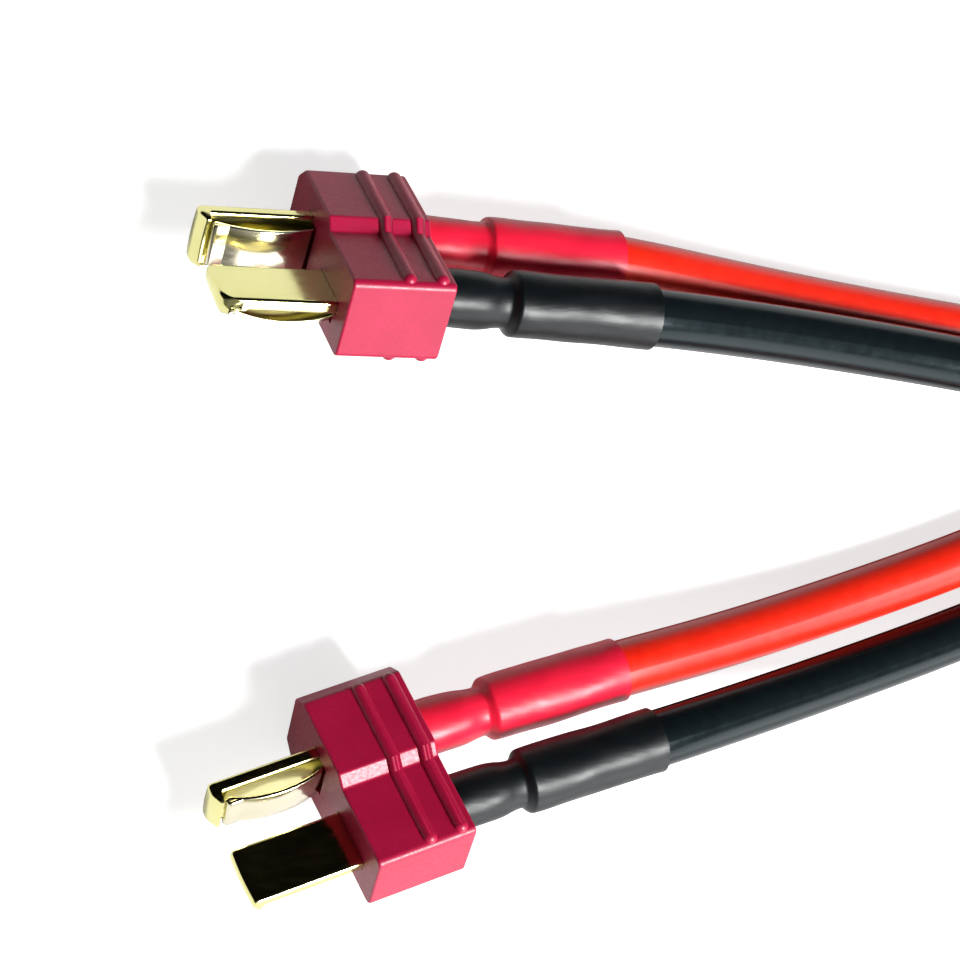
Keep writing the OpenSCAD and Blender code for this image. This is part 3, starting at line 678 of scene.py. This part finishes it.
for plug, place in plugs.items():
    for colour, centre in tab_centres.items():
        node = f"{plug}_{colour}_sleeve"
        longer, drawn_in = sleeve_cuts[node]
        shape = [(x + longer if x > 14.5 else x, r + (1 - drawn_in) * max(0, 2.3 - r) if 4 < x < 6.7 else r)
                 for x, r in sleeve_shape]
        tube = sleeve_tube(node + "_tube", shape, centre, 1.3 if colour == "red" else 2.9)
        lean = leaned(plug, centre, 0.25 if node == "plug_a_red_sleeve" else 0)
        dress(tube, place @ lean, sleeve_finishes[colour], node, sharp_angle=60)

# The socket. The same nylon body, longer, with one slot along its width and one across it
# for the blades, and a gold-plated contact plate along the outer wall of each slot.
socket_length = 17.4
socket_place = (Matrix.Scale(MM, 4) @ Matrix.Translation((54, 8.9, thick_half + rib_height)))
slot_pockets = []
for low, high in (((7.6, -3.55 - 2.6, -2.2), (18, -3.55 + 2.6, 0.85)), ((7.6, 1.45, -2.6), (18, 4.5, 2.6))):
    slot_pockets.append(block("slot", low, high))
socket_shell = moulded_body("socket_shell", socket_length, 1, slot_pockets)
socket_body = joined("socket_body", [socket_shell] + grip_ribs(1))
dress(socket_body, socket_place, crimson_nylon, "socket_housing", sharp_angle=40, flats=True)
for node in ("socket_flat_contact", "socket_upright_contact"):
    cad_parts[node].data.materials.clear()
    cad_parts[node].data.materials.append(bright_gold)


# The socket's two sleeves. Each is one wide tube shrunk over a pair of stacked wires and
# their soldered tab, so it is oval, with a shallow valley where the two wires part.
def pair_sleeve(name, joint, wires_at, phase):
    stations = [(0.02, 0.0), (1.2, 0.0), (2.4, 0.02), (3.6, 0.15), (4.6, 0.5), (5.4, 0.85), (6.2, 1.0),
                (7.6, 1.0), (9.2, 1.0), (11.0, 1.0), (12.4, 1.0), (13.0, 1.0)]
    line = eased_profile(stations)
    rings = []
    for wall, run in ((0, line), (sleeve_wall, list(reversed(line)))):
        for x, mix in run:
            mix = min(1, max(0, mix))
            (jy, jz, jw, jh), (wy, wz, ww, wh) = joint, wires_at
            y, z = jy + mix * (wy - jy), jz + mix * (wz - jz)
            half_w, half_h = jw + mix * (ww - jw) - wall, jh + mix * (wh - jh) - wall
            ring = []
            for i in range(56):
                turn = math.tau * (i + 0.5) / 56
                side = half_w * math.cos(turn)
                rise = (half_h - half_w) * max(-1, min(1, 1.6 * math.sin(turn))) + half_w * math.sin(turn)
                valley = 1 - 0.1 * mix * math.exp(-(rise / 0.9) ** 2)
                lump = 1 + 0.012 * math.sin(3 * turn + phase + 0.8 * x)
                ring.append((-x, y + side * valley * lump, z + rise * lump))
            rings.append(ring)
    return loft_ring(name, rings)


socket_sleeves = {
    "red": ((3.33, 0, 2.3, 3.3), (3.9, 0.225, 2.68, 5.0)),
    "black": ((-3.55, 0.85, 2.15, 3.4), (-3.6, 0.225, 2.68, 5.0))}
for colour, (joint, wires_at) in socket_sleeves.items():
    node = f"socket_{colour}_sleeve"
    tube = pair_sleeve(node + "_tube", joint, wires_at, 0.6 if colour == "red" else 2.1)
    dress(tube, socket_place, sleeve_finishes[colour], node, sharp_angle=60)

# The studio. A white table that stays white in the picture and keeps the soft shadow, a wide
# lamp on the near side, a softer one overhead, and a dim room beyond the far side. In the
# parts' reflections the table's far part is painted dark and its near part given a faint painted glow.
table_finish, table_tree, table_surface = new_finish("white_table_painted_in_reflections")
table_surface.inputs["Roughness"].default_value = 0.9
seen = add_node(table_tree, "ShaderNodeLightPath")
mirrored = add_node(table_tree, "ShaderNodeMath", {
    0: seen.outputs["Is Glossy Ray"], 1: seen.outputs["Is Transmission Ray"]}, operation="MAXIMUM")
table_place = add_node(table_tree, "ShaderNodeTexCoord")
table_parts = add_node(table_tree, "ShaderNodeSeparateXYZ", {0: table_place.outputs["Object"]})
# Painted reflection shade: rays that reflect or refract off the parts see the table past y = 0.15 m near-black, while
# the camera sees it white.
near_part = add_node(table_tree, "ShaderNodeMapRange", {
    "Value": table_parts.outputs["Y"], "From Min": 0.05, "From Max": 0.15, "To Min": 1.0, "To Max": 0.0})
far_part = add_node(table_tree, "ShaderNodeMath", {0: 1.0, 1: near_part.outputs[0]}, operation="SUBTRACT")
painted_dark_in_reflection = add_node(table_tree, "ShaderNodeMath", {
    0: mirrored.outputs[0], 1: far_part.outputs[0]}, operation="MULTIPLY")
paper_with_painted_dark = add_node(table_tree, "ShaderNodeMix", {
    "Factor": painted_dark_in_reflection.outputs[0], 6: linear("#B4B4B4"), 7: linear("#080808")}, data_type="RGBA")
table_tree.links.new(paper_with_painted_dark.outputs[2], table_surface.inputs["Base Color"])
# Painted reflection glow: those rays also see the near part of the table glow faintly, though it is no lamp. Camera
# rays get an even white glow.
painted_glow_place = add_node(table_tree, "ShaderNodeMath", {
    0: mirrored.outputs[0], 1: near_part.outputs[0]}, operation="MULTIPLY")
painted_reflection_glow = add_node(table_tree, "ShaderNodeMath", {0: painted_glow_place.outputs[0], 1: 0.18}, operation="MULTIPLY")
camera_white_and_painted_glow = add_node(table_tree, "ShaderNodeMath", {
    0: seen.outputs["Is Camera Ray"], 1: 0.75, 2: painted_reflection_glow.outputs[0]}, operation="MULTIPLY_ADD")
table_glow = add_node(table_tree, "ShaderNodeEmission", {"Color": (1, 1, 1, 1), "Strength": camera_white_and_painted_glow.outputs[0]})
table_mix = add_node(table_tree, "ShaderNodeAddShader", {0: table_surface.outputs[0], 1: table_glow.outputs[0]})
table_out = next(n for n in table_tree.nodes if n.type == "OUTPUT_MATERIAL")
table_tree.links.new(table_mix.outputs[0], table_out.inputs[0])

table = block("table", (-3, -3, -0.01), (3, 3, 0))
table.data.materials.append(table_finish)


def soft_lamp(name, direction, distance, size, power):
    lamp = bpy.data.lights.new(name, "AREA")
    lamp.shape = "RECTANGLE"
    lamp.size, lamp.size_y = size
    lamp.energy = power
    thing = bpy.data.objects.new(name, lamp)
    bpy.context.scene.collection.objects.link(thing)
    direction = Vector(direction).normalized()
    thing.matrix_world = (
        Matrix.Translation(direction * distance) @ direction.to_track_quat("Z", "Y").to_matrix().to_4x4())
    return thing


soft_lamp("near_side_lamp", (0.5, -0.82, 0.25), 0.9, (1.2, 0.5), 7)
soft_lamp("overhead_lamp", (0.33, -0.38, 0.86), 1.0, (0.3, 0.3), 24)

world = bpy.data.worlds.new("studio")
bpy.context.scene.world = world
world.use_nodes = True
world.node_tree.nodes.clear()
look = add_node(world.node_tree, "ShaderNodeTexCoord")
far_side = add_node(world.node_tree, "ShaderNodeVectorMath", {
    0: look.outputs["Generated"], 1: (-0.55, 0.83, 0.0)}, operation="DOT_PRODUCT")
room = add_node(world.node_tree, "ShaderNodeMapRange", {
    "Value": far_side.outputs["Value"], "From Min": -0.4, "From Max": 0.25, "To Min": 0.23, "To Max": 0.003})
sky = add_node(world.node_tree, "ShaderNodeBackground", {"Color": (1, 1, 1, 1), "Strength": room.outputs[0]})
add_node(world.node_tree, "ShaderNodeOutputWorld", {"Surface": sky.outputs[0]})
bpy.context.scene.view_settings.view_transform = "Standard"

low, high = cad_bounds
